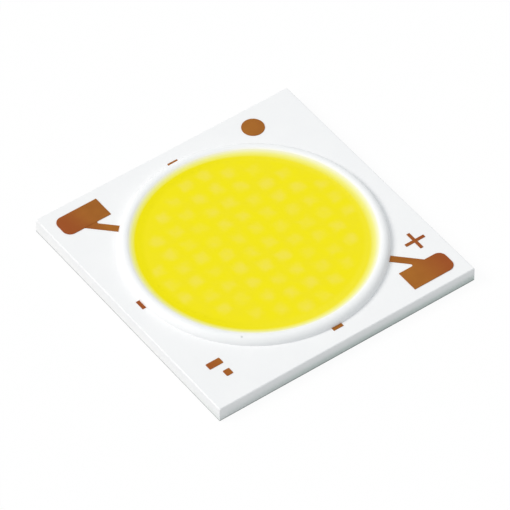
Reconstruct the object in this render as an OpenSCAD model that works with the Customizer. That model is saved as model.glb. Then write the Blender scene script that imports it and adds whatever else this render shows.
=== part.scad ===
// Chip-on-board LED: a square ceramic plate with printed copper, a round silicone dam and a
// phosphor-filled light surface over six parallel strings of wire-bonded dies.
// Millimetres, +Z up. The origin is the centre of the plate's underside.

/* [Ceramic plate] */
// Side of the square plate
plate_side = 23.85; // [23.5:0.05:26]
// Thickness of the plate
plate_t = 1.35; // [0.8:0.05:2]
// Chamfer along the plate's top and bottom edges
plate_break = 0.06; // [0.02:0.01:0.12]

/* [Printed copper] */
// Thickness of the printed copper
copper_t = 0.035; // [0.015:0.005:0.05]
// Length of a solder pad, along the front or back edge
pad_l = 4; // [3.4:0.1:4.4]
// Width of a solder pad
pad_w = 2; // [1.6:0.1:2.2]
// How much a solder pad stands over its trace, from a second print
pad_rise = 0.015; // [0.01:0.005:0.02]
// Distance from a solder pad to the plate's edges
pad_inset = 0.95; // [0.6:0.05:1.1]
// Radius of the two pad corners next to the plate's side
pad_corner_r = 0.65; // [0.2:0.05:0.75]
// Width of the trace from a solder pad to its bus
trace_w = 0.62; // [0.4:0.02:0.8]
// Angle that each bus arc sweeps
bus_sweep = 160; // [150:1:170]
// Diameter of the temperature test point
test_point_d = 1.85; // [1:0.05:2]
// Length of the plus sign's strokes
plus_l = 1.78; // [1.2:0.02:2]
// Width of the plus sign's strokes
plus_w = 0.27; // [0.15:0.01:0.4]

/* [Dam and phosphor] */
// Outer diameter of the dam
dam_d = 20.8; // [20.5:0.05:21]
// Width of the dam's bead where it sits on the plate
dam_w = 1.16; // [1.1:0.02:1.2]
// Height of the phosphor over the plate, at the middle of the light surface
phosphor_h = 0.4; // [0.38:0.01:0.44]
// Height over the plate at which the phosphor meets the dam
phosphor_rim_h = 0.5; // [0.48:0.01:0.52]
// Width of the band where the phosphor climbs to the dam
meniscus_w = 0.62; // [0.4:0.02:0.8]

/* [Dies and bond wires] */
// Side of one square die
die_side = 0.76; // [0.7:0.01:0.8]
// Height of one die
die_h = 0.14; // [0.1:0.01:0.15]
// Distance between neighbouring dies
die_pitch = 1.71; // [1.65:0.01:1.72]
// Diameter of a bond wire
wire_d = 0.03; // [0.02:0.005:0.035]
// Height of a wire's loop over the die, to its centre line
loop_h = 0.15; // [0.14:0.005:0.17]

/* [Hidden] */

$fn = 96;
wire_fn = 24;
copper_colour = [0.64, 0.4, 0.17];
plate_half = plate_side / 2;

// Solder pads: the trace runs along the plate's diagonal to the pad's near side
pad_near = plate_half - pad_inset - pad_w;
trace_end_r = pad_near * sqrt(2) + trace_w;
fillet_r = 0.15;
fillet_lap = 0.1;

// Bus arcs: the outer part lies under the dam, the inner part takes the wires
bus_in_r = 8.65;
bus_out_r = 9.85;
bus_land_r = 8.92;

// Printed marks, placed from the plate's edges
plus_inset = [1.91, 4.93];
test_point_inset = [4.7, 1.94];
code_inset = 2.97;
code_w = 0.6;
code_corner_r = 0.08;
code_bar_l = 1.24;
code_bar_inset = 3.88;
code_square_l = 0.58;
code_square_inset = 2.62;

// Centre marks: the dam's foot covers their inner edge
mark_l = 0.9;
mark_w = 0.45;
mark_r = dam_d / 2 + 0.08;

// Dam: half of a round bead, revolved
bead_r = dam_w / 2;
dam_r = dam_d / 2 - bead_r;

// Phosphor: its rim lies on the bead's circle, and its edge rises to it in one arc
rim_r = dam_r - sqrt(pow(bead_r, 2) - pow(phosphor_rim_h, 2));
climb = phosphor_rim_h - phosphor_h;
meniscus_r = (pow(meniscus_w, 2) + pow(climb, 2)) / (2 * climb);

// Dies of the three strings on the left, each from the anode bus at the front to the
// cathode bus at the back, in pitches from the centre. The right half is these turned round.
left_strings = [
    [
        [-2.5, -3.5], [-2.5, -2.5], [-3.5, -2.5], [-3.5, -1.5], [-4.5, -1], [-3.5, -0.5],
        [-4.5, 0], [-3.5, 0.5], [-4.5, 1], [-3.5, 1.5], [-3.5, 2.5], [-2.5, 3.5]
    ],
    [
        [-1.5, -4], [-1.5, -3], [-1.5, -2], [-2.5, -1.5], [-1.5, -1], [-2.5, -0.5],
        [-2.5, 0.5], [-2.5, 1.5], [-1.5, 2], [-2.5, 2.5], [-1.5, 3], [-1.5, 4]
    ],
    [
        [-0.5, -4.5], [-0.5, -3.5], [-0.5, -2.5], [-0.5, -1.5], [-0.5, -0.5], [-1.5, 0],
        [-0.5, 0.5], [-1.5, 1], [-0.5, 1.5], [-0.5, 2.5], [-0.5, 3.5], [-0.5, 4.5]
    ]
];
last_die = 11;
string_count = 6;

// Bond wires: a ball on the first pad, a low loop, and a flattened foot on the second
bond_offset = [0, 0.25];
ball_d = 0.08;
ball_h = 0.02;
crest_r = 0.08;
landing_r = 0.2;
foot_l = 0.1;
foot_w = 0.05;
foot_h = 0.02;
seat_h = 0.6 * wire_d;
bend_d = wire_d + 0.002;
bite = 0.004;

function turned(places) = [for (i = [last_die:-1:0]) -places[i]];
function string_places(n) =
    die_pitch * (n <= 3 ? left_strings[n - 1] : turned(left_strings[string_count - n]));
function bus_land(x, side) = [x, side * sqrt(pow(bus_land_r, 2) - pow(x, 2))];

module on_plate() {
    translate([0, 0, plate_t]) children();
}

module printed() {
    color(copper_colour) on_plate() linear_extrude(copper_t) children();
}

module rounded_rect(l, w, r) {
    square([l - 2 * r, w], center = true);
    square([l, w - 2 * r], center = true);
    for (x = [-1, 1], y = [-1, 1]) {
        translate([x * (l / 2 - r), y * (w / 2 - r)]) circle(r);
    }
}

// Ceramic plate

module plate_elevation() {
    flat_x = plate_half - plate_break;
    flat_y = plate_t / 2 - plate_break;
    polygon([
        [plate_half, -flat_y], [plate_half, flat_y], [flat_x, plate_t / 2], [-flat_x, plate_t / 2],
        [-plate_half, flat_y], [-plate_half, -flat_y], [-flat_x, -plate_t / 2], [flat_x, -plate_t / 2]
    ]);
}

module ceramic_plate() {
    color("white") translate([0, 0, plate_t / 2]) intersection() {
        rotate([90, 0, 0]) linear_extrude(plate_side, center = true) plate_elevation();
        rotate([90, 0, 90]) linear_extrude(plate_side, center = true) plate_elevation();
    }
}

// Printed copper

module solder_pad() {
    translate([plate_half - pad_inset - pad_l / 2, pad_inset + pad_w / 2 - plate_half]) {
        rounded_rect(pad_l, pad_w, pad_corner_r);
        translate([-pad_l / 4, 0]) square([pad_l / 2, pad_w], center = true);
    }
}

module trace() {
    rotate(-45) translate([bus_land_r, -trace_w / 2]) square([trace_end_r - bus_land_r, trace_w]);
}

// Fills the sharp corner between the trace and the pad's near side. It reaches into both, and
// its arc crosses their edges at a small angle.
module trace_fillet() {
    reach = fillet_r / tan(22.5);
    centre = [-reach, fillet_r];
    along = [-cos(45), sin(45)];
    inward = [cos(45), sin(45)];
    translate([pad_near - trace_w / sqrt(2), -pad_near]) difference() {
        polygon([
            fillet_lap * [1, -1], [-reach, -fillet_lap], centre, reach * along + fillet_lap * inward
        ]);
        translate(centre) circle(1.02 * fillet_r);
    }
}

module bus_arc() {
    rotate_extrude(angle = bus_sweep, start = 270 - bus_sweep / 2)
        translate([bus_in_r, 0]) square([bus_out_r - bus_in_r, copper_t]);
}

module circuit() {
    color(copper_colour) on_plate() {
        bus_arc();
        linear_extrude(copper_t) {
            trace();
            trace_fillet();
        }
        linear_extrude(copper_t + pad_rise) solder_pad();
    }
}

module anode_circuit() {
    circuit();
}

module cathode_circuit() {
    rotate([0, 0, 180]) circuit();
}

module plus_sign() {
    printed() translate([plate_half - plus_inset.x, plus_inset.y - plate_half]) {
        square([plus_l, plus_w], center = true);
        square([plus_w, plus_l], center = true);
    }
}

module test_point() {
    printed() translate([plate_half, plate_half] - test_point_inset) circle(d = test_point_d);
}

module centre_mark(direction) {
    printed() rotate(direction) translate([mark_r, 0]) square([mark_w, mark_l], center = true);
}

module centre_mark_left() {
    centre_mark(180);
}

module centre_mark_front() {
    centre_mark(270);
}

module centre_mark_back() {
    centre_mark(90);
}

module code_mark(l, inset) {
    printed() translate([code_inset - l / 2 - plate_half, inset - plate_half])
        rounded_rect(l, code_w, code_corner_r);
}

module code_bar() {
    code_mark(code_bar_l, code_bar_inset);
}

module code_square() {
    code_mark(code_square_l, code_square_inset);
}

// Dam and phosphor

module dam_bead() {
    on_plate() rotate_extrude() translate([dam_r, 0]) intersection() {
        circle(bead_r);
        translate([-bead_r, 0]) square([dam_w, bead_r]);
    }
}

module dam() {
    color("white") difference() {
        dam_bead();
        anode_circuit();
        cathode_circuit();
        centre_mark_left();
        centre_mark_front();
        centre_mark_back();
    }
}

// Half of the light surface's section: flat, then an arc up to the dam
module phosphor_section() {
    difference() {
        square([dam_r, phosphor_rim_h]);
        translate([0, phosphor_h]) square([rim_r - meniscus_w, climb]);
        translate([rim_r - meniscus_w, phosphor_h + meniscus_r]) circle(meniscus_r);
        translate([dam_r, 0]) circle(bead_r);
    }
}

module phosphor_fill() {
    color([0.94, 0.9, 0.13]) difference() {
        on_plate() rotate_extrude() phosphor_section();
        anode_circuit();
        cathode_circuit();
        for (n = [1:string_count]) {
            die_string(n);
            bond_wires(n);
        }
    }
}

// Dies

module die_string(n) {
    color("lightsteelblue") on_plate() for (place = string_places(n)) {
        translate([place.x, place.y, die_h / 2]) cube([die_side, die_side, die_h], center = true);
    }
}

module die_string_1() {
    die_string(1);
}

module die_string_2() {
    die_string(2);
}

module die_string_3() {
    die_string(3);
}

module die_string_4() {
    die_string(4);
}

module die_string_5() {
    die_string(5);
}

module die_string_6() {
    die_string(6);
}

// Bond wires

// One wire in the XZ plane, from a ball at the origin to a foot that ends at x = run.
// The straight span is the line that touches the crest's arc and the landing's arc, and the
// bends are a hair thicker than the straights, whose ends bite into them.
module wire_loop(run, drop) {
    crest = [crest_r, loop_h - crest_r];
    landing = [run - foot_l / 2, seat_h + landing_r - drop];
    gap = landing - crest;
    span = sqrt(gap * gap - pow(crest_r + landing_r, 2));
    fall = atan2(crest_r + landing_r, span) - atan2(gap.y, gap.x);
    cylinder(h = ball_h, d = ball_d, $fn = wire_fn);
    cylinder(h = crest.y + bite, d = wire_d, $fn = wire_fn);
    wire_bend(crest, crest_r, 90 - fall, 90 + fall);
    translate([crest.x + crest_r * sin(fall), 0, crest.y + crest_r * cos(fall)])
        rotate([0, 90 + fall, 0]) translate([0, 0, -bite])
        cylinder(h = span + 2 * bite, d = wire_d, $fn = wire_fn);
    wire_bend(landing, landing_r, 270 - fall, fall);
    translate([run - foot_l, -foot_w / 2, -drop]) cube([foot_l, foot_w, foot_h]);
}

module wire_bend(centre, r, start, sweep) {
    translate([centre.x, 0, centre.y]) rotate([90, 0, 0])
        rotate_extrude(angle = sweep, start = start) translate([r, 0]) circle(d = bend_d, $fn = wire_fn);
}

module wire_between(from, to, drop = 0) {
    line = to - from;
    translate([from.x, from.y, die_h]) rotate([0, 0, atan2(line.y, line.x)]) wire_loop(norm(line), drop);
}

// The wires of one string: a lead to each bus and one wire between each two dies
module bond_wires(n) {
    places = string_places(n);
    first = places[0];
    last = places[last_die];
    color("gold") on_plate() {
        wire_between(first - bond_offset, bus_land(first.x, -1), die_h - copper_t);
        for (i = [1:last_die]) {
            wire_between(places[i - 1] + bond_offset, places[i] - bond_offset);
        }
        wire_between(last + bond_offset, bus_land(last.x, 1), die_h - copper_t);
    }
}

module bond_wires_1() {
    bond_wires(1);
}

module bond_wires_2() {
    bond_wires(2);
}

module bond_wires_3() {
    bond_wires(3);
}

module bond_wires_4() {
    bond_wires(4);
}

module bond_wires_5() {
    bond_wires(5);
}

module bond_wires_6() {
    bond_wires(6);
}

ceramic_plate();
anode_circuit();
cathode_circuit();
plus_sign();
test_point();
centre_mark_left();
centre_mark_front();
centre_mark_back();
code_bar();
code_square();
dam();
phosphor_fill();
die_string_1();
die_string_2();
die_string_3();
die_string_4();
die_string_5();
die_string_6();
bond_wires_1();
bond_wires_2();
bond_wires_3();
bond_wires_4();
bond_wires_5();
bond_wires_6();
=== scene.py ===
"""Dresses the frame of a chip-on-board LED.

A white ceramic plate carries printed copper, a round silicone dam and the phosphor-filled light
surface inside it, over six strings of wire-bonded dies.
"""
import logging
import math
from dataclasses import dataclass, field
from enum import Enum

import bmesh
import bpy
from mathutils import Matrix, Vector


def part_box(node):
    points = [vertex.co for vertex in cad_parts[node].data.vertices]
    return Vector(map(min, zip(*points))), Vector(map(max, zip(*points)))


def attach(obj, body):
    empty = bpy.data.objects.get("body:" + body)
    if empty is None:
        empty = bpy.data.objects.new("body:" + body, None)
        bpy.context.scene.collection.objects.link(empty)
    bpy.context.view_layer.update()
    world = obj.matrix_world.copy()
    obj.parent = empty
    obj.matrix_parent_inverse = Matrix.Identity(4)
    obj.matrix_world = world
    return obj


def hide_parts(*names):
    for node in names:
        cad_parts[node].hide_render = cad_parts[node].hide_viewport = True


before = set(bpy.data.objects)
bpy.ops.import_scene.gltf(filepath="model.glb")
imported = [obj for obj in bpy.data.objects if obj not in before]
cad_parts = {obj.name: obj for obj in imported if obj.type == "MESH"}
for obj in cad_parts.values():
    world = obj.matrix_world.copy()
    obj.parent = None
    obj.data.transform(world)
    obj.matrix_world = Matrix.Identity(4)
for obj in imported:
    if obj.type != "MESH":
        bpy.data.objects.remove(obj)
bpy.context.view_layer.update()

logging.basicConfig(level=logging.INFO, format="%(message)s")
log = logging.getLogger("cob_led")

MM = 0.001
BODY = "root"
STRING_COUNT = 6
DIE_PITCH = 1.71 * MM
Socket = bpy.types.NodeSocket
Colour = tuple[float, float, float]


class Slot(Enum):
    """The record's material slots."""

    ALUMINA = "alumina"
    COPPER = "printed_copper"
    SILICONE = "white_silicone"
    PHOSPHOR = "phosphor_silicone"
    SAPPHIRE = "sapphire"
    GOLD = "gold"


class Graph:
    """A node tree that is being wired up."""

    def __init__(self, tree: bpy.types.NodeTree) -> None:
        """Takes the tree that the nodes go into.

        Args:
            tree: a material's, world's or group's node tree.
        """
        self.tree = tree

    def node(self, kind: str, **settings: object) -> bpy.types.Node:
        """Adds a node.

        Args:
            kind: the node's type name without its ShaderNode prefix.
            **settings: properties to set on the node.

        Returns:
            The new node.
        """
        prefix = "" if kind.startswith("NodeGroup") else "ShaderNode"
        made = self.tree.nodes.new(prefix + kind)
        for name, value in settings.items():
            setattr(made, name, value)
        return made

    def feed(self, socket: Socket, value: object) -> None:
        """Links another socket to this one, or sets its value.

        Args:
            socket: the input to feed.
            value: an output socket, or a plain value.
        """
        if isinstance(value, bpy.types.NodeSocket):
            self.tree.links.new(value, socket)
        elif isinstance(socket.default_value, float) or isinstance(value, str):
            socket.default_value = value
        else:
            parts = len(socket.default_value)
            socket.default_value = (*value, 1.0) if len(value) < parts else value

    def math(self, operation: str, *values: object, clamp: bool = False) -> Socket:
        """Adds a Math node.

        Args:
            operation: the node's operation.
            *values: up to three inputs, as sockets or numbers.
            clamp: whether the result is held between 0 and 1.

        Returns:
            The result's socket.
        """
        made = self.node("Math", operation=operation, use_clamp=clamp)
        for socket, value in zip(made.inputs, values):
            self.feed(socket, value)
        return made.outputs[0]

    def fade(
        self, value: object, start: object, end: object, low: object = 0.0, high: object = 1.0
    ) -> Socket:
        """Adds a smooth step.

        Args:
            value: what is looked at.
            start: the value at which the step is at low.
            end: the value at which the step is at high.
            low: the result at start.
            high: the result at end.

        Returns:
            The result's socket.
        """
        made = self.node("MapRange", interpolation_type="SMOOTHSTEP")
        names = ("Value", "From Min", "From Max", "To Min", "To Max")
        for name, given in zip(names, (value, start, end, low, high)):
            self.feed(made.inputs[name], given)
        return made.outputs["Result"]

    def vector(self, operation: str, *values: object) -> Socket:
        """Adds a Vector Math node.

        Args:
            operation: the node's operation.
            *values: up to three inputs, as sockets or vectors.

        Returns:
            The resulting vector's socket.
        """
        made = self.node("VectorMath", operation=operation)
        for socket, value in zip(made.inputs, values):
            self.feed(socket, value)
        return made.outputs["Vector"]

    def distance(self, first: object, second: object) -> Socket:
        """Measures how far one point is from another.

        Args:
            first: a point, as a socket or a vector.
            second: the other point.

        Returns:
            The distance's socket.
        """
        made = self.node("VectorMath", operation="DISTANCE")
        self.feed(made.inputs[0], first)
        self.feed(made.inputs[1], second)
        return made.outputs["Value"]

    def blend(self, amount: object, first: object, second: object, kind: str = "MIX") -> Socket:
        """Adds a colour mix.

        Args:
            amount: 0 for the first colour, 1 for the second.
            first: a colour or a colour socket.
            second: a colour or a colour socket.
            kind: how the colours mix.

        Returns:
            The mixed colour's socket.
        """
        made = self.node("Mix", data_type="RGBA", blend_type=kind, clamp_factor=True)
        self.feed(made.inputs[0], amount)
        self.feed(made.inputs[6], first)
        self.feed(made.inputs[7], second)
        return made.outputs[2]

    def group(self, made_from: bpy.types.NodeTree, **values: object) -> bpy.types.Node:
        """Places a node group.

        Args:
            made_from: the group's tree.
            **values: its inputs, with _ for a space in a name.

        Returns:
            The group's node.
        """
        made = self.node("Group", node_tree=made_from)
        for name, value in values.items():
            self.feed(made.inputs[name.replace("_", " ")], value)
        return made


def new_group(
    name: str, inputs: dict[str, str], outputs: list[str]
) -> tuple[Graph, bpy.types.Node, bpy.types.Node]:
    """Starts a shader node group.

    Args:
        name: the group's name.
        inputs: the kind of socket for each input's name.
        outputs: the names of the outputs, all plain values.

    Returns:
        The group's graph, its input node and its output node.
    """
    tree = bpy.data.node_groups.new(name, "ShaderNodeTree")
    for label, kind in inputs.items():
        tree.interface.new_socket(name=label, in_out="INPUT", socket_type="NodeSocket" + kind)
    for label in outputs:
        tree.interface.new_socket(name=label, in_out="OUTPUT", socket_type="NodeSocketFloat")
    graph = Graph(tree)
    return graph, graph.node("NodeGroupInput"), graph.node("NodeGroupOutput")


@dataclass
class Effects:
    """The effects that more than one finish uses, each a node group that is built once."""

    grain: bpy.types.NodeTree = field(init=False)
    polar: bpy.types.NodeTree = field(init=False)
    die_field: bpy.types.NodeTree = field(init=False)
    soft_square: bpy.types.NodeTree = field(init=False)

    def __post_init__(self) -> None:
        """Builds the groups."""
        self.grain = self.build_grain()
        self.polar = self.build_polar()
        self.die_field = self.build_die_field()
        self.soft_square = self.build_soft_square()

    def build_grain(self) -> bpy.types.NodeTree:
        """Fine grain, a broad cloud and rare specks, each from 0 to 1.

        Returns:
            The group's tree.
        """
        graph, given, result = new_group(
            "surface_grain",
            {"Vector": "Vector", "Grain Size": "Float", "Cloud Size": "Float"},
            ["Grain", "Cloud", "Speck"],
        )
        size = graph.math("DIVIDE", 1.0, given.outputs["Grain Size"])
        fine = graph.node("TexNoise")
        fine.inputs["Detail"].default_value = 4.0
        fine.inputs["Roughness"].default_value = 0.65
        broad = graph.node("TexNoise")
        broad.inputs["Detail"].default_value = 2.0
        speck = graph.node("TexVoronoi")
        for texture, scale in (
            (fine, size),
            (broad, graph.math("DIVIDE", 1.0, given.outputs["Cloud Size"])),
            (speck, graph.math("MULTIPLY", size, 0.12)),
        ):
            graph.feed(texture.inputs["Vector"], given.outputs["Vector"])
            graph.feed(texture.inputs["Scale"], scale)
        graph.feed(result.inputs["Grain"], fine.outputs[0])
        graph.feed(result.inputs["Cloud"], graph.fade(broad.outputs[0], 0.25, 0.75))
        graph.feed(result.inputs["Speck"], graph.fade(speck.outputs["Distance"], 0.1, 0.03))
        return graph.tree

    def build_polar(self) -> bpy.types.NodeTree:
        """Distance from the part's middle, and how far a point lies towards a direction.

        Returns:
            The group's tree.
        """
        graph, given, result = new_group(
            "polar_place", {"Vector": "Vector", "Direction": "Float"}, ["Radius", "Towards"]
        )
        split = graph.node("SeparateXYZ")
        graph.feed(split.inputs[0], given.outputs["Vector"])
        across, along = split.outputs["X"], split.outputs["Y"]
        squares = graph.math("MULTIPLY_ADD", along, along, graph.math("MULTIPLY", across, across))
        turn = graph.math("SUBTRACT", graph.math("ARCTAN2", along, across), given.outputs["Direction"])
        graph.feed(result.inputs["Radius"], graph.math("SQRT", squares))
        towards = graph.math("MULTIPLY_ADD", graph.math("COSINE", turn), 0.5, 0.5)
        graph.feed(result.inputs["Towards"], towards)
        return graph.tree

    def build_die_field(self) -> bpy.types.NodeTree:
        """Where a point lies on the nearest die: its columns step by half a pitch at two of five.

        Returns:
            The group's tree.
        """
        graph, given, result = new_group(
            "die_field", {"Vector": "Vector", "Pitch": "Float"}, ["Across", "Along", "Chance", "Present"]
        )
        split = graph.node("SeparateXYZ")
        graph.feed(split.inputs[0], given.outputs["Vector"])
        pitch = given.outputs["Pitch"]
        side = graph.math("DIVIDE", graph.math("ABSOLUTE", split.outputs["X"]), pitch)
        column = graph.math("ROUND", graph.math("SUBTRACT", side, 0.5))
        level = graph.math("COMPARE", graph.math("MODULO", column, 3.0), 1.0, 0.1)
        step = graph.math("MULTIPLY_ADD", level, -0.5, 0.5)
        height = graph.math("SUBTRACT", graph.math("DIVIDE", split.outputs["Y"], pitch), step)
        row = graph.math("ROUND", height)
        centre_x = graph.math("ADD", column, 0.5)
        centre_y = graph.math("ADD", row, step)
        squares = graph.math("MULTIPLY", centre_x, centre_x)
        reach = graph.math("MULTIPLY_ADD", centre_y, centre_y, squares)
        dice = graph.node("TexWhiteNoise", noise_dimensions="3D")
        seed = graph.node("CombineXYZ")
        half = graph.math("SIGN", split.outputs["X"])
        graph.feed(seed.inputs["X"], graph.math("MULTIPLY", centre_x, half))
        graph.feed(seed.inputs["Y"], centre_y)
        graph.feed(dice.inputs["Vector"], seed.outputs[0])
        across = graph.math("SUBTRACT", side, centre_x)
        along = graph.math("SUBTRACT", height, row)
        graph.feed(result.inputs["Across"], graph.math("MULTIPLY", across, pitch))
        graph.feed(result.inputs["Along"], graph.math("MULTIPLY", along, pitch))
        graph.feed(result.inputs["Chance"], dice.outputs["Value"])
        graph.feed(result.inputs["Present"], graph.math("LESS_THAN", reach, 4.75**2))
        return graph.tree

    def build_soft_square(self) -> bpy.types.NodeTree:
        """1 inside a square with soft edges and round corners, 0 outside.

        Returns:
            The group's tree.
        """
        graph, given, result = new_group(
            "soft_square",
            {"Across": "Float", "Along": "Float", "Inner": "Float", "Outer": "Float"},
            ["Mask"],
        )
        inner, outer = given.outputs["Inner"], given.outputs["Outer"]
        across = graph.fade(graph.math("ABSOLUTE", given.outputs["Across"]), outer, inner)
        along = graph.fade(graph.math("ABSOLUTE", given.outputs["Along"]), outer, inner)
        graph.feed(result.inputs["Mask"], graph.math("MULTIPLY", across, along))
        return graph.tree


@dataclass(frozen=True)
class Finish:
    """What all the finishes share: a shader in its material, fed by the effects."""

    effects: Effects
    slot: Slot

    def start(self) -> tuple[bpy.types.Material, Graph, bpy.types.Node, Socket]:
        """Makes an empty material with its shader.

        Returns:
            The material, its graph, its Principled shader and the point on the piece.
        """
        material = bpy.data.materials.new(self.slot.value + "_finish")
        material.use_nodes = True
        material.node_tree.nodes.clear()
        graph = Graph(material.node_tree)
        shader = graph.node("BsdfPrincipled")
        output = graph.node("OutputMaterial")
        graph.feed(output.inputs["Surface"], shader.outputs[0])
        return material, graph, shader, graph.node("TexCoord").outputs["Object"]

    @staticmethod
    def relief(
        graph: Graph, shader: bpy.types.Node, height: Socket, depth: float, strength: float = 1.0
    ) -> None:
        """Feeds a bump to the shader's normal.

        Args:
            graph: the material's graph.
            shader: its shader.
            height: the height's socket, from 0 to 1.
            depth: the relief's depth in metres.
            strength: how much of it shows.
        """
        bump = graph.node("Bump")
        graph.feed(bump.inputs["Height"], height)
        bump.inputs["Distance"].default_value = depth
        bump.inputs["Strength"].default_value = strength
        graph.feed(shader.inputs["Normal"], bump.outputs[0])


@dataclass(frozen=True)
class Alumina(Finish):
    """Fired white alumina: matte, with a fine grain, faint clouds and rare pale specks. Painted shade
    makes its sides greyer towards the bottom and front right; a painted shadow darkens the bottom edge."""

    slot: Slot = Slot.ALUMINA
    body: Colour = (0.915, 0.918, 0.926)
    cloud: Colour = (0.932, 0.934, 0.938)
    speck: Colour = (0.85, 0.85, 0.845)
    # Painted shade: the grey-green that the sides turn lower down and towards the front right.
    side: Colour = (0.62, 0.69, 0.66)
    # Painted shadow: the dark line along the sides' bottom edge, where the plate meets the floor.
    bottom_edge: Colour = (0.16, 0.19, 0.175)
    half_side: float = 11.925 * MM
    side_depth: float = 0.05 * MM
    side_top: float = 1.05 * MM
    side_low: float = 0.2 * MM
    edge_top: float = 0.24 * MM
    fray: float = 0.08 * MM
    # The way the sides face where their painted shade is darkest.
    darkest_way: float = math.radians(315)
    speck_amount: float = 0.35

    def material(self) -> bpy.types.Material:
        """Builds the material.

        Returns:
            The finished material.
        """
        material, graph, shader, place = self.start()
        grain = graph.group(self.effects.grain, Vector=place, Grain_Size=0.06 * MM, Cloud_Size=2.6 * MM)
        colour = graph.blend(grain.outputs["Cloud"], self.body, self.cloud)
        specks = graph.math("MULTIPLY", grain.outputs["Speck"], self.speck_amount)
        colour = graph.blend(specks, colour, self.speck)
        # Painted shade on the sides, and a painted shadow along their bottom edge.
        cut, foot = self.side_masks(graph, place, grain.outputs["Grain"])
        colour = graph.blend(cut, colour, self.side)
        colour = graph.blend(foot, colour, self.bottom_edge)
        graph.feed(shader.inputs["Base Color"], colour)
        graph.feed(shader.inputs["Roughness"], graph.fade(grain.outputs["Grain"], 0.2, 0.8, 0.42, 0.6))
        shader.inputs["Specular IOR Level"].default_value = 0.3
        self.relief(graph, shader, grain.outputs["Grain"], 0.004 * MM, 0.25)
        return material

    def side_masks(self, graph: Graph, place: Socket, grain: Socket) -> tuple[Socket, Socket]:
        """Finds the painted shade on the sides, more at the front right than at the left, and the painted
        shadow along their bottom edge.

        Args:
            graph: the material's graph.
            place: the point on the plate.
            grain: the fine grain, which frays both masks.

        Returns:
            The mask of the painted side shade and the mask of the painted shadow along the bottom edge.
        """
        split = graph.node("SeparateXYZ")
        graph.feed(split.inputs[0], place)
        reach = graph.math(
            "MAXIMUM",
            graph.math("ABSOLUTE", split.outputs["X"]),
            graph.math("ABSOLUTE", split.outputs["Y"]),
        )
        outside = graph.fade(reach, self.half_side - self.side_depth, self.half_side - self.side_depth / 5)
        height = graph.math("MULTIPLY_ADD", grain, self.fray, split.outputs["Z"])
        polar = graph.group(self.effects.polar, Vector=place, Direction=self.darkest_way)
        front = graph.fade(polar.outputs["Towards"], 0.3, 0.8)
        lower = graph.fade(height, self.side_top, self.side_low)
        # The painted shade on the sides, strongest low down and towards the front right.
        cut = graph.math("MULTIPLY", graph.math("MULTIPLY", outside, front), lower)
        # The painted shadow along the bottom edge, stronger towards the front right.
        foot = graph.fade(height, self.edge_top, self.edge_top / 2)
        return cut, graph.math("MULTIPLY", foot, graph.fade(front, 0.0, 1.0, 0.7, 0.95))


@dataclass(frozen=True)
class PrintedCopper(Finish):
    """Printed copper under a thin film of tarnish: satin, browner where the film is thicker, and
    redder towards the plate's left and right sides."""

    slot: Slot = Slot.COPPER
    bright: Colour = (0.38, 0.14, 0.019)
    tarnish: Colour = (0.25, 0.078, 0.01)
    red: Colour = (0.29, 0.06, 0.014)
    red_from: float = 7.6 * MM
    red_full: float = 11.0 * MM
    red_amount: float = 0.75

    def material(self) -> bpy.types.Material:
        """Builds the material.

        Returns:
            The finished material.
        """
        material, graph, shader, place = self.start()
        grain = graph.group(self.effects.grain, Vector=place, Grain_Size=0.05 * MM, Cloud_Size=2.4 * MM)
        fine = graph.math("MULTIPLY", grain.outputs["Grain"], 0.3)
        film = graph.math("MULTIPLY_ADD", grain.outputs["Cloud"], 0.55, fine)
        split = graph.node("SeparateXYZ")
        graph.feed(split.inputs[0], place)
        reach = graph.math("ABSOLUTE", split.outputs["X"])
        redness = graph.fade(reach, self.red_from, self.red_full, 0.0, self.red_amount)
        colour = graph.blend(film, self.bright, self.tarnish)
        graph.feed(shader.inputs["Base Color"], graph.blend(redness, colour, self.red))
        graph.feed(shader.inputs["Roughness"], graph.fade(film, 0.0, 1.0, 0.4, 0.55))
        shader.inputs["Metallic"].default_value = 0.85
        self.relief(graph, shader, grain.outputs["Grain"], 0.006 * MM, 0.4)
        return material


@dataclass(frozen=True)
class WhiteSilicone(Finish):
    """Cured white silicone: soft gloss and smooth, with faint clouds."""

    slot: Slot = Slot.SILICONE
    body: Colour = (0.925, 0.935, 0.94)
    cloud: Colour = (0.935, 0.94, 0.945)
    # Partly the phosphor's yellow stain and partly painted light, brighter than the body, lifting the
    # shaded inner slope.
    stain: Colour = (0.97, 0.955, 0.86)
    rim_radius: float = 9.526 * MM
    stain_width: float = 0.16 * MM
    pinhole: Colour = (-6.639 * MM, -7.478 * MM, 1.901 * MM)
    pinhole_shade: Colour = (0.68, 0.7, 0.7)
    pinhole_inner: float = 0.05 * MM
    pinhole_outer: float = 0.13 * MM

    def material(self) -> bpy.types.Material:
        """Builds the material: stained by the phosphor next to the rim, where painted light also
        brightens the inner slope, with one small pinhole.

        Returns:
            The finished material.
        """
        material, graph, shader, place = self.start()
        grain = graph.group(self.effects.grain, Vector=place, Grain_Size=0.12 * MM, Cloud_Size=1.4 * MM)
        polar = graph.group(self.effects.polar, Vector=place)
        # The band next to the rim that carries the phosphor stain and the painted light.
        stain = graph.fade(polar.outputs["Radius"], self.rim_radius + self.stain_width, self.rim_radius)
        away = graph.distance(place, self.pinhole)
        hole = graph.fade(away, self.pinhole_outer, self.pinhole_inner)
        colour = graph.blend(grain.outputs["Cloud"], self.body, self.cloud)
        colour = graph.blend(stain, colour, self.stain)
        colour = graph.blend(hole, colour, self.pinhole_shade)
        graph.feed(shader.inputs["Base Color"], colour)
        graph.feed(shader.inputs["Roughness"], graph.fade(grain.outputs["Cloud"], 0.0, 1.0, 0.32, 0.4))
        shader.inputs["Specular IOR Level"].default_value = 0.3
        self.relief(graph, shader, grain.outputs["Grain"], 0.003 * MM, 0.2)
        return material


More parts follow.
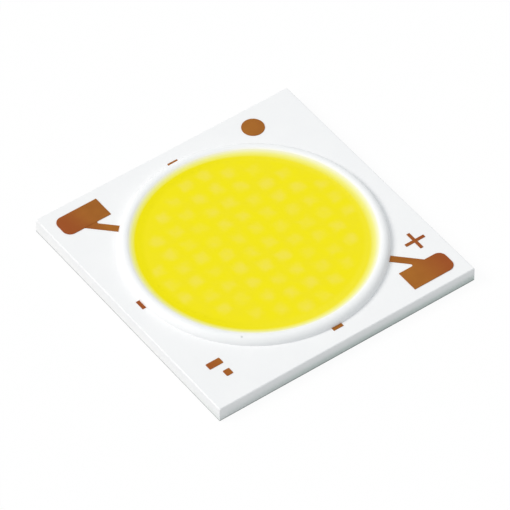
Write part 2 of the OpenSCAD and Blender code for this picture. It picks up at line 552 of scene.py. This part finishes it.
@dataclass(frozen=True)
class PhosphorSilicone(Finish):
    """Silicone filled with yellow phosphor: paler over the dies, deeper in the ring round them, and
    fading to the dam's white where it thins out over the bead. Painted shade deepens the ring
    towards the back left, and painted light makes the edge pale sooner towards the right."""

    slot: Slot = Slot.PHOSPHOR
    body: Colour = (0.925, 0.81, 0.004)
    cloud: Colour = (0.91, 0.79, 0.011)
    over_die: Colour = (0.915, 0.79, 0.066)
    # Painted shade: the ring's colour on its shaded side; the next colour is the ring on its unshaded side.
    ring: Colour = (0.89, 0.78, 0.001)
    pale_ring: Colour = (0.925, 0.81, 0.025)
    thin: Colour = (0.92, 0.875, 0.19)
    edge: Colour = (0.93, 0.93, 0.76)
    rim_radius: float = 9.526 * MM
    ring_from: float = 1.35 * MM
    ring_full: float = 0.85 * MM
    # The way towards which the ring's painted shade is strongest.
    deepest_way: float = math.radians(150)
    # The thinning is real; its sooner start towards this way, the right, is painted light on the lit inner
    # wall.
    palest_way: float = math.radians(8)
    thin_width: float = 0.54 * MM
    palest_extra: float = 0.42 * MM
    spot_inner: float = 0.12 * MM
    spot_outer: float = 0.78 * MM
    wander: float = 0.6 * MM
    wander_size: float = 0.9 * MM

    def material(self) -> bpy.types.Material:
        """Builds the material.

        Returns:
            The finished material.
        """
        material, graph, shader, place = self.start()
        grain = graph.group(self.effects.grain, Vector=place, Grain_Size=0.05 * MM, Cloud_Size=1.1 * MM)
        die = graph.group(self.effects.die_field, Vector=self.wandered(graph, place), Pitch=DIE_PITCH)
        square = graph.group(
            self.effects.soft_square,
            Across=die.outputs["Across"],
            Along=die.outputs["Along"],
            Inner=self.spot_inner,
            Outer=self.spot_outer,
        )
        halo = graph.math("MULTIPLY", square.outputs["Mask"], die.outputs["Present"])
        uneven = graph.math("MULTIPLY", grain.outputs["Cloud"], 0.6)
        uneven = graph.math("MULTIPLY_ADD", die.outputs["Chance"], 0.5, uneven)
        halo = graph.math("MULTIPLY", halo, graph.fade(uneven, 0.1, 0.9, 0.4, 1.0))
        ring_mask, deep, thinning = self.ring_masks(graph, place)
        # The ring's colour, with painted shade on its side towards the back left.
        ring = graph.blend(deep, self.pale_ring, self.ring)
        colour = graph.blend(grain.outputs["Cloud"], self.body, self.cloud)
        colour = graph.blend(halo, colour, self.over_die)
        colour = graph.blend(ring_mask, colour, ring)
        colour = graph.blend(graph.fade(thinning, 0.05, 0.55), colour, self.thin)
        colour = graph.blend(graph.fade(thinning, 0.45, 1.15), colour, self.edge)
        graph.feed(shader.inputs["Base Color"], colour)
        graph.feed(shader.inputs["Roughness"], graph.fade(grain.outputs["Grain"], 0.2, 0.8, 0.45, 0.58))
        shader.inputs["Specular IOR Level"].default_value = 0.12
        self.relief(graph, shader, grain.outputs["Grain"], 0.004 * MM, 0.3)
        return material

    def wandered(self, graph: Graph, place: Socket) -> Socket:
        """Moves a point a little to and fro, so that the paler spots over the dies are uneven.

        Args:
            graph: the material's graph.
            place: the point on the piece.

        Returns:
            The moved point's socket.
        """
        noise = graph.node("TexNoise")
        noise.inputs["Scale"].default_value = 1.0 / self.wander_size
        noise.inputs["Detail"].default_value = 2.0
        graph.feed(noise.inputs["Vector"], place)
        reach = (self.wander, self.wander, 0.0)
        half = (-self.wander / 2, -self.wander / 2, 0.0)
        moved = graph.vector("MULTIPLY_ADD", noise.outputs["Color"], reach, place)
        return graph.vector("ADD", moved, half)

    def ring_masks(self, graph: Graph, place: Socket) -> tuple[Socket, Socket, Socket]:
        """Finds the ring outside the dies, the side of it with painted shade, and how far the layer has
        thinned, with painted light bringing the thinning on sooner towards the right.

        Args:
            graph: the material's graph.
            place: the point on the piece.

        Returns:
            The ring's mask, the mask of its side with painted shade, and 0 to 1 from full depth to the rim.
        """
        deep = graph.group(self.effects.polar, Vector=place, Direction=self.deepest_way)
        pale = graph.group(self.effects.polar, Vector=place, Direction=self.palest_way)
        radius = deep.outputs["Radius"]
        ring = graph.fade(radius, self.rim_radius - self.ring_from, self.rim_radius - self.ring_full)
        # Painted light: the thinning starts sooner towards the right.
        lobe = graph.math("POWER", pale.outputs["Towards"], 2.0)
        start = graph.math("MULTIPLY_ADD", lobe, -self.palest_extra, self.rim_radius - self.thin_width)
        passed = graph.math("SUBTRACT", radius, start)
        width = graph.math("SUBTRACT", self.rim_radius, start)
        # Where the ring carries painted shade, strongest towards the back left.
        side = graph.fade(deep.outputs["Towards"], 0.15, 0.8)
        return ring, side, graph.math("DIVIDE", passed, width)


@dataclass(frozen=True)
class Sapphire(Finish):
    """A sapphire chip with its light-emitting layer and two gold bond pads on top."""

    slot: Slot = Slot.SAPPHIRE
    body: Colour = (0.72, 0.8, 0.9)
    layer: Colour = (0.6, 0.72, 0.86)
    pad: Colour = (0.85, 0.6, 0.22)

    def material(self) -> bpy.types.Material:
        """Builds the material.

        Returns:
            The finished material.
        """
        material, graph, shader, place = self.start()
        die = graph.group(self.effects.die_field, Vector=place, Pitch=DIE_PITCH)
        across, along = die.outputs["Across"], die.outputs["Along"]
        squares = self.effects.soft_square
        mesa = graph.group(squares, Across=across, Along=along, Inner=0.33 * MM, Outer=0.35 * MM)
        pad_along = graph.math("SUBTRACT", graph.math("ABSOLUTE", along), 0.25 * MM)
        pad = graph.group(squares, Across=across, Along=pad_along, Inner=0.055 * MM, Outer=0.065 * MM)
        grain = graph.group(self.effects.grain, Vector=place, Grain_Size=0.02 * MM, Cloud_Size=0.3 * MM)
        colour = graph.blend(mesa.outputs["Mask"], self.body, self.layer)
        colour = graph.blend(pad.outputs["Mask"], colour, self.pad)
        graph.feed(shader.inputs["Base Color"], colour)
        graph.feed(shader.inputs["Roughness"], graph.fade(grain.outputs["Cloud"], 0.0, 1.0, 0.08, 0.18))
        shader.inputs["Transmission Weight"].default_value = 0.55
        shader.inputs["IOR"].default_value = 1.77
        return material


@dataclass(frozen=True)
class BondGold(Finish):
    """Bright drawn gold with a faint mottle."""

    slot: Slot = Slot.GOLD
    bright: Colour = (0.95, 0.69, 0.25)
    dull: Colour = (0.84, 0.57, 0.18)

    def material(self) -> bpy.types.Material:
        """Builds the material.

        Returns:
            The finished material.
        """
        material, graph, shader, place = self.start()
        grain = graph.group(self.effects.grain, Vector=place, Grain_Size=0.01 * MM, Cloud_Size=0.08 * MM)
        graph.feed(shader.inputs["Base Color"], graph.blend(grain.outputs["Cloud"], self.bright, self.dull))
        graph.feed(shader.inputs["Roughness"], graph.fade(grain.outputs["Grain"], 0.2, 0.8, 0.16, 0.3))
        shader.inputs["Metallic"].default_value = 1.0
        return material


class Bench:
    """Short calls for modelling one piece with Blender's own operators."""

    @staticmethod
    def clear() -> None:
        """Deselects everything and leaves edit mode."""
        if bpy.context.object and bpy.context.object.mode != "OBJECT":
            bpy.ops.object.mode_set(mode="OBJECT")
        bpy.ops.object.select_all(action="DESELECT")

    @staticmethod
    def pick_faces(test: object) -> None:
        """Selects the faces of the mesh in edit mode that pass a test, and no others.

        Args:
            test: takes a face's centre and normal, and says whether it is picked.
        """
        bpy.ops.mesh.select_mode(type="FACE")
        mesh = bpy.context.object.data
        shape = bmesh.from_edit_mesh(mesh)
        for face in shape.faces:
            face.select_set(bool(test(face.calc_center_median(), face.normal)))
        shape.select_flush_mode()
        bmesh.update_edit_mesh(mesh)

    @staticmethod
    def pick_open_edges() -> None:
        """Selects the edges of the mesh in edit mode that only one face meets."""
        bpy.ops.mesh.select_mode(type="EDGE")
        mesh = bpy.context.object.data
        shape = bmesh.from_edit_mesh(mesh)
        for edge in shape.edges:
            edge.select_set(edge.is_boundary)
        shape.select_flush_mode()
        bmesh.update_edit_mesh(mesh)

    @staticmethod
    def step_cap(size: float, new_size: float, rise: float) -> None:
        """Extrudes the picked cap and brings it to a new radius and height.

        Args:
            size: the cap's radius.
            new_size: its radius afterwards.
            rise: how far it moves up.
        """
        bpy.ops.mesh.extrude_region_move(TRANSFORM_OT_translate={"value": (0, 0, rise)})
        scale = new_size / size
        bpy.ops.transform.resize(value=(scale, scale, 1), center_override=(0, 0, 0))

    @staticmethod
    def finish(name: str, sharp_angle: float) -> bpy.types.Object:
        """Names the piece in hand, shades it smooth and puts its place into its mesh.

        Args:
            name: the piece's name.
            sharp_angle: edges sharper than this many degrees stay sharp.

        Returns:
            The finished piece.
        """
        bpy.ops.object.mode_set(mode="OBJECT")
        piece = bpy.context.object
        piece.name = piece.data.name = name
        bpy.ops.object.transform_apply(location=True, rotation=True, scale=True)
        bpy.ops.object.shade_smooth_by_angle(angle=math.radians(sharp_angle))
        return piece


def dress(piece: bpy.types.Object, finish: bpy.types.Material) -> None:
    """Gives a piece its finish.

    Args:
        piece: a new piece, or a CAD node's object.
        finish: the material.
    """
    if not piece.material_slots:
        piece.data.materials.append(finish)
    for place in piece.material_slots:
        place.material = finish


def mount(piece: bpy.types.Object, finish: Finish, *replaced: str) -> None:
    """Puts a new piece on the part in place of CAD nodes, and dresses it.

    Args:
        piece: the finished piece.
        finish: its finish.
        *replaced: the CAD nodes that it stands for.
    """
    dress(piece, finish.material())
    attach(piece, BODY)
    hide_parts(*replaced)
    log.info("%s: %d faces, stands for %s", piece.name, len(piece.data.polygons), ", ".join(replaced))


@dataclass
class Carrier:
    """The ceramic plate and the copper printed on it, which keep the frame's shapes."""

    plate_nodes: tuple[str, ...] = ("ceramic_plate",)
    copper_nodes: tuple[str, ...] = (
        "anode_circuit",
        "cathode_circuit",
        "plus_sign",
        "test_point",
        "centre_mark_left",
        "centre_mark_front",
        "centre_mark_back",
        "code_bar",
        "code_square",
    )

    def dress(self, effects: Effects) -> None:
        """Dresses the plate and the prints.

        Args:
            effects: the shared node groups.
        """
        dressings = (
            (self.plate_nodes, Alumina(effects)),
            (self.copper_nodes, PrintedCopper(effects)),
        )
        for names, finish in dressings:
            material = finish.material()
            for name in names:
                dress(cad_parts[name], material)
                log.info("%s: %s", name, material.name)


@dataclass
class Emitters:
    """The dies and their bond wires, which keep the frame's shapes under the light surface."""

    strings: int = STRING_COUNT

    def dress(self, effects: Effects) -> None:
        """Dresses the dies and the wires.

        Args:
            effects: the shared node groups.
        """
        for stem, finish in (("die_string_", Sapphire(effects)), ("bond_wires_", BondGold(effects))):
            material = finish.material()
            for number in range(1, self.strings + 1):
                dress(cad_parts[stem + str(number)], material)
            log.info("%s1 to %s%d: %s", stem, stem, self.strings, material.name)


@dataclass
class SiliconeRing:
    """The dam and the light surface that it holds, both round the part's middle."""

    segments: int = 360
    bead_facets: int = 64
    wall_steps: int = 5
    meniscus_steps: int = 10
    flat_steps: int = 24
    fill_height: float = 0.4 * MM
    meniscus_width: float = 0.62 * MM
    ripple_depth: float = 0.03 * MM
    ripple_length: float = 3.0 * MM
    plate_top: float = field(init=False)
    bead_radius: float = field(init=False)
    bead_path: float = field(init=False)
    rim_height: float = field(init=False)
    rim_radius: float = field(init=False)

    def __post_init__(self) -> None:
        """Takes the ring's sizes from the frame."""
        self.plate_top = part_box("ceramic_plate")[1].z
        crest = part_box("dam")[1]
        self.bead_radius = crest.z - self.plate_top
        self.bead_path = crest.x - self.bead_radius
        self.rim_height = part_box("phosphor_fill")[1].z - self.plate_top
        self.rim_radius = self.wall_radius(self.rim_height)

    def wall_radius(self, height: float) -> float:
        """Radius of the bead's inner wall.

        Args:
            height: height over the plate.

        Returns:
            The radius at that height.
        """
        return self.bead_path - math.sqrt(self.bead_radius**2 - height**2)

    def surface_height(self, radius: float) -> float:
        """Height of the light surface over the plate: level, then one arc up to the dam.

        Args:
            radius: distance from the middle.

        Returns:
            The height there.
        """
        climb = self.rim_height - self.fill_height
        bend = (self.meniscus_width**2 + climb**2) / (2 * climb)
        out = max(0.0, radius - (self.rim_radius - self.meniscus_width))
        return self.fill_height + bend - math.sqrt(bend**2 - out**2)

    def build_dam(self) -> bpy.types.Object:
        """Models the dam: a ring cut off at the plate, closed underneath, with a slow waviness on
        its outside.

        Returns:
            The finished piece.
        """
        Bench.clear()
        bpy.ops.mesh.primitive_torus_add(
            major_segments=self.segments,
            minor_segments=self.bead_facets,
            major_radius=self.bead_path,
            minor_radius=self.bead_radius,
            location=(0, 0, self.plate_top),
        )
        bpy.ops.object.transform_apply(location=True)
        bpy.ops.object.mode_set(mode="EDIT")
        bpy.ops.mesh.select_all(action="SELECT")
        bpy.ops.mesh.bisect(
            plane_co=(0, 0, self.plate_top), plane_no=(0, 0, 1), clear_inner=True, threshold=1e-7
        )
        Bench.pick_open_edges()
        bpy.ops.mesh.bridge_edge_loops()
        bpy.ops.object.mode_set(mode="OBJECT")
        self.ripple(bpy.context.object)
        return Bench.finish("dam_bead", 50)

    def ripple(self, piece: bpy.types.Object) -> None:
        """Gives the bead's free side the slow unevenness of silicone laid by a needle.

        Args:
            piece: the dam, in object mode.
        """
        free = piece.vertex_groups.new(name="free_side")
        for point in piece.data.vertices:
            reach = math.hypot(point.co.x, point.co.y) - self.bead_path
            free.add([point.index], min(1.0, max(0.0, 0.5 + reach / self.bead_radius)), "REPLACE")
        pattern = bpy.data.textures.new("needle_ripple", "CLOUDS")
        pattern.noise_scale = self.ripple_length
        pattern.noise_depth = 1
        wave = piece.modifiers.new("ripple", "DISPLACE")
        wave.texture = pattern
        wave.texture_coords = "LOCAL"
        wave.strength = self.ripple_depth
        wave.mid_level = 0.5
        wave.vertex_group = free.name
        bpy.ops.object.modifier_apply(modifier=wave.name)

    def build_light_surface(self) -> bpy.types.Object:
        """Models the light surface: a disc whose wall follows the dam's bead up to the rim, and
        whose top falls from there to a level middle.

        Returns:
            The finished piece.
        """
        Bench.clear()
        steps = [self.rim_height * number / self.wall_steps for number in range(1, self.wall_steps + 1)]
        profile = [(self.wall_radius(height), height) for height in steps]
        level_radius = self.rim_radius - self.meniscus_width
        for number in range(1, self.meniscus_steps + 1):
            radius = self.rim_radius - self.meniscus_width * number / self.meniscus_steps
            profile.append((radius, self.surface_height(radius)))
        for number in range(1, self.flat_steps):
            profile.append((level_radius * (1 - number / self.flat_steps), self.fill_height))
        foot = self.wall_radius(0.0)
        first = profile[0]
        bpy.ops.mesh.primitive_cylinder_add(
            vertices=self.segments,
            radius=foot,
            depth=first[1],
            location=(0, 0, self.plate_top + first[1] / 2),
        )
        bpy.ops.object.transform_apply(location=True)
        bpy.ops.object.mode_set(mode="EDIT")
        Bench.pick_faces(lambda centre, normal: normal.z > 0.9)
        bpy.ops.transform.resize(value=(first[0] / foot, first[0] / foot, 1), center_override=(0, 0, 0))
        for (size, height), (new_size, new_height) in zip(profile, profile[1:]):
            Bench.step_cap(size, new_size, new_height - height)
        bpy.ops.mesh.poke()
        return Bench.finish("light_surface", 50)

    def build(self, effects: Effects) -> None:
        """Models the dam and the light surface, and puts them on the part.

        Args:
            effects: the shared node groups.
        """
        white = WhiteSilicone(effects, rim_radius=self.rim_radius)
        yellow = PhosphorSilicone(effects, rim_radius=self.rim_radius)
        mount(self.build_dam(), white, "dam")
        mount(self.build_light_surface(), yellow, "phosphor_fill")


@dataclass(frozen=True)
class Lamp:
    """A distant soft lamp."""

    name: str
    azimuth: float
    elevation: float
    strength: float
    softness: float
    colour: Colour = (1.0, 1.0, 1.0)

    def place(self) -> None:
        """Adds the lamp, pointed at the part's middle."""
        data = bpy.data.lights.new(self.name, "SUN")
        data.energy = self.strength
        data.angle = math.radians(self.softness)
        data.color = self.colour
        lamp = bpy.data.objects.new(self.name, data)
        flat, up = math.radians(self.azimuth), math.radians(self.elevation)
        towards = Vector((math.cos(flat) * math.cos(up), math.sin(flat) * math.cos(up), math.sin(up)))
        lamp.rotation_mode = "QUATERNION"
        lamp.rotation_quaternion = towards.to_track_quat("Z", "Y")
        lamp.location = towards * 0.5
        bpy.context.scene.collection.objects.link(lamp)


@dataclass
class Studio:
    """Camera, floor, lamps and the light that comes from all round."""

    azimuth: float = -36.207
    elevation: float = 47.274
    roll: float = -0.146
    distance: float = 386.99 * MM
    lens: float = 359.72
    aim_right: float = 0.0637 * MM
    aim_up: float = -0.845 * MM
    floor_size: float = 4.0
    floor_colour: Colour = (0.8, 0.8, 0.8)
    floor_glow: float = 0.93
    round_light: float = 0.5
    round_colour: Colour = (0.935, 0.985, 1.005)
    lamps: tuple[Lamp, ...] = (
        Lamp("key_lamp", 150.0, 43.0, 1.42, 26.0, (1.0, 0.955, 0.925)),
        Lamp("top_lamp", 150.0, 78.0, 0.62, 60.0),
    )

    def place_camera(self) -> None:
        """Puts the camera at its height and angle, aimed at the plate's top."""
        turn, up_angle, roll = (math.radians(value) for value in (self.azimuth, self.elevation, self.roll))
        back = Vector(
            (
                math.sin(turn) * math.cos(up_angle),
                -math.cos(turn) * math.cos(up_angle),
                math.sin(up_angle),
            )
        )
        right = Vector((math.cos(turn), math.sin(turn), 0.0))
        up = back.cross(right)
        rolled_right = right * math.cos(roll) + up * math.sin(roll)
        rolled_up = up * math.cos(roll) - right * math.sin(roll)
        target = Vector((0, 0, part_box("ceramic_plate")[1].z))
        target += rolled_right * self.aim_right + rolled_up * self.aim_up
        data = bpy.data.cameras.new("camera")
        data.lens = self.lens
        data.sensor_width = 36.0
        data.clip_start, data.clip_end = 0.01, 20.0
        camera = bpy.data.objects.new("camera", data)
        bpy.context.scene.collection.objects.link(camera)
        turned = Matrix((rolled_right, rolled_up, back)).transposed()
        camera.matrix_world = Matrix.Translation(target + back * self.distance) @ turned.to_4x4()
        bpy.context.scene.camera = camera

    def lay_floor(self) -> None:
        """Lays a pale floor that looks white and keeps a soft shadow."""
        Bench.clear()
        bpy.ops.mesh.primitive_plane_add(size=self.floor_size, location=(0, 0, -0.01 * MM))
        floor = bpy.context.object
        floor.name = "floor"
        material = bpy.data.materials.new("floor_paper")
        material.use_nodes = True
        material.node_tree.nodes.clear()
        graph = Graph(material.node_tree)
        rays = graph.node("LightPath")
        seen = graph.math("MAXIMUM", rays.outputs["Is Camera Ray"], rays.outputs["Is Glossy Ray"])
        seen = graph.math("MAXIMUM", seen, rays.outputs["Is Transmission Ray"])
        paper = graph.node("BsdfDiffuse")
        graph.feed(paper.inputs["Color"], graph.blend(seen, self.floor_colour, (1.0, 1.0, 1.0)))
        glow = graph.node("Emission")
        mixed = graph.node("MixShader")
        graph.feed(mixed.inputs[0], graph.math("MULTIPLY", seen, self.floor_glow))
        graph.feed(mixed.inputs[1], paper.outputs[0])
        graph.feed(mixed.inputs[2], glow.outputs[0])
        graph.feed(graph.node("OutputMaterial").inputs["Surface"], mixed.outputs[0])
        dress(floor, material)

    def light(self) -> None:
        """Adds the lamps and the light from all round, which the camera and gloss see as white."""
        for lamp in self.lamps:
            lamp.place()
        world = bpy.data.worlds.new("studio")
        bpy.context.scene.world = world
        world.use_nodes = True
        world.node_tree.nodes.clear()
        graph = Graph(world.node_tree)
        rays = graph.node("LightPath")
        seen = graph.math("MAXIMUM", rays.outputs["Is Camera Ray"], rays.outputs["Is Glossy Ray"])
        seen = graph.math("MAXIMUM", seen, rays.outputs["Is Transmission Ray"])
        sky = graph.node("Background")
        level = graph.math("MULTIPLY_ADD", seen, 1.0 - self.round_light, self.round_light)
        graph.feed(sky.inputs["Strength"], level)
        graph.feed(sky.inputs["Color"], graph.blend(seen, self.round_colour, (1.0, 1.0, 1.0)))
        graph.feed(graph.node("OutputWorld").inputs["Surface"], sky.outputs[0])

    def build(self) -> None:
        """Sets up the whole studio."""
        bpy.context.scene.view_settings.view_transform = "Standard"
        self.place_camera()
        self.lay_floor()
        self.light()


def main() -> None:
    """Builds the studio and dresses the part."""
    Studio().build()
    effects = Effects()
    Carrier().dress(effects)
    Emitters().dress(effects)
    SiliconeRing().build(effects)


if __name__ == "__main__":
    main()
